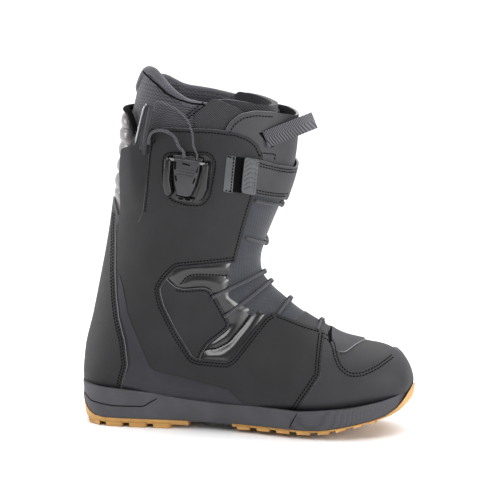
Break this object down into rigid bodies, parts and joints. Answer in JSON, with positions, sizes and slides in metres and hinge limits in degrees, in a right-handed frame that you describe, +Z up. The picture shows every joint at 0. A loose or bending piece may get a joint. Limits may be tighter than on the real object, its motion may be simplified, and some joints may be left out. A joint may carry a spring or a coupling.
{
  "type": "snowboard boot",
  "caption": "Lace-up snowboard boot, right foot, with a flexing cuff, padded liner, tongue with pull loop, power strap, lace lock with lever, pull handle and lugged sole.",
  "frame": {"origin": "middle of the boot's box, on the ground under the sole", "axes": "+X towards the toe, +Y towards the inner side of the right foot, +Z up"},
  "size_m": [0.3058, 0.1218, 0.3257],
  "materials": {
    "leatherette": "matte coated synthetic leather with a fine grain",
    "textile": "matte woven and knitted textile",
    "gloss_insert": "glossy creased flex film",
    "tpu": "satin moulded plastic",
    "foam": "textile-faced foam",
    "midsole": "fine grained moulded foam",
    "gum": "matte gum rubber",
    "board": "stiff fibre board",
    "cord": "braided cord",
    "webbing": "ribbed webbing",
    "metal": "plain steel",
    "plastic": "satin black plastic"
  },
  "bodies": {
    "foot": {"outsole_heel": "gum", "outsole_forefoot": "gum", "midsole": "midsole", "toe_bumper": "midsole", "heel_crash_pad": "foam", "shank": "tpu", "lasting_board": "board", "heel_counter": "board", "toe_puff": "board", "shell_base_lower": "textile", "quarter_lateral": "leatherette", "quarter_medial": "leatherette", "flex_inset_lateral": "gloss_insert", "flex_inset_medial": "gloss_insert", "tongue_lower": "textile", "toe_cap": "leatherette", "tongue_base": "textile", "toe_mudguard": "leatherette", "backstay": "leatherette", "ankle_wedge_lateral": "tpu", "ankle_wedge_medial": "tpu", "ankle_flap_lateral": "leatherette", "ankle_flap_medial": "leatherette", "lace_ankle_upper": "cord", "lace_ankle_lower": "cord", "lace_instep": "cord", "lace_toe": "cord", "liner_foot": "foam", "footbed": "foam"},
    "cuff": {"shell_base_cuff": "textile", "cuff_lateral": "leatherette", "cuff_medial": "leatherette", "ankle_gusset_lateral": "gloss_insert", "ankle_gusset_medial": "gloss_insert", "spine_panel": "textile", "spine_binding": "textile", "liner_cuff": "foam", "collar_binding": "textile", "lace_shin_lower": "cord", "lace_shin_upper": "cord", "strap_landing": "textile", "strap_anchor": "webbing", "lock_base": "plastic", "lock_pin": "metal", "lock_jaw": "plastic", "lock_spring": "metal", "pocket": "leatherette", "pull_lace_upper": "cord", "pull_lace_lower": "cord"},
    "tongue": {"tongue_upper": "textile", "tongue_cap": "leatherette", "liner_tongue": "foam"},
    "pull_loop": {"tongue_pull_loop": "webbing"},
    "strap": {"power_strap": "webbing", "strap_tip": "plastic"},
    "lever": {"lock_lever": "plastic"},
    "pull_handle": {"handle": "webbing"}
  },
  "joints": [
    {"name": "cuff_flex", "type": "hinge", "parent": "foot", "child": "cuff", "pos_m": [-0.07293, 0.00375, 0.112], "axis": [0, 1, 0], "range_deg": [0, 15], "stiffness_Nm_per_rad": 60, "deforming": ["lace_ankle_upper", "lace_ankle_lower"]},
    {"name": "strap_open", "type": "hinge", "parent": "cuff", "child": "strap", "pos_m": [-0.00893, 0.05735, 0.237], "axis": [0.27, 0, 0.9629], "range_deg": [0, 90]},
    {"name": "tongue_open", "type": "hinge", "parent": "cuff", "child": "tongue", "pos_m": [0.01207, 0.00375, 0.1505], "axis": [0, 1, 0], "range_deg": [0, 25.2], "deforming": ["lace_shin_lower", "lace_shin_upper"]},
    {"name": "loop_swing", "type": "hinge", "parent": "tongue", "child": "pull_loop", "pos_m": [0.01907, 0.00375, 0.261], "axis": [0, 1, 0], "range_deg": [-15, 8]},
    {"name": "lever_lift", "type": "hinge", "parent": "cuff", "child": "lever", "pos_m": [-0.04005, -0.05739, 0.24379], "axis": [-0.9929, 0.0025, 0.1193], "range_deg": [0, 35], "stiffness_Nm_per_rad": 0.05},
    {"name": "handle_pull", "type": "slide", "parent": "cuff", "child": "pull_handle", "axis": [0.193, -0.1109, 0.9749], "range_m": [0, 0.06], "deforming": ["pull_lace_upper", "pull_lace_lower"]}
  ],
  "couplings": [
    {"joint": "tongue_open", "follows": "strap_open", "ratio": 0.28}
  ]
}
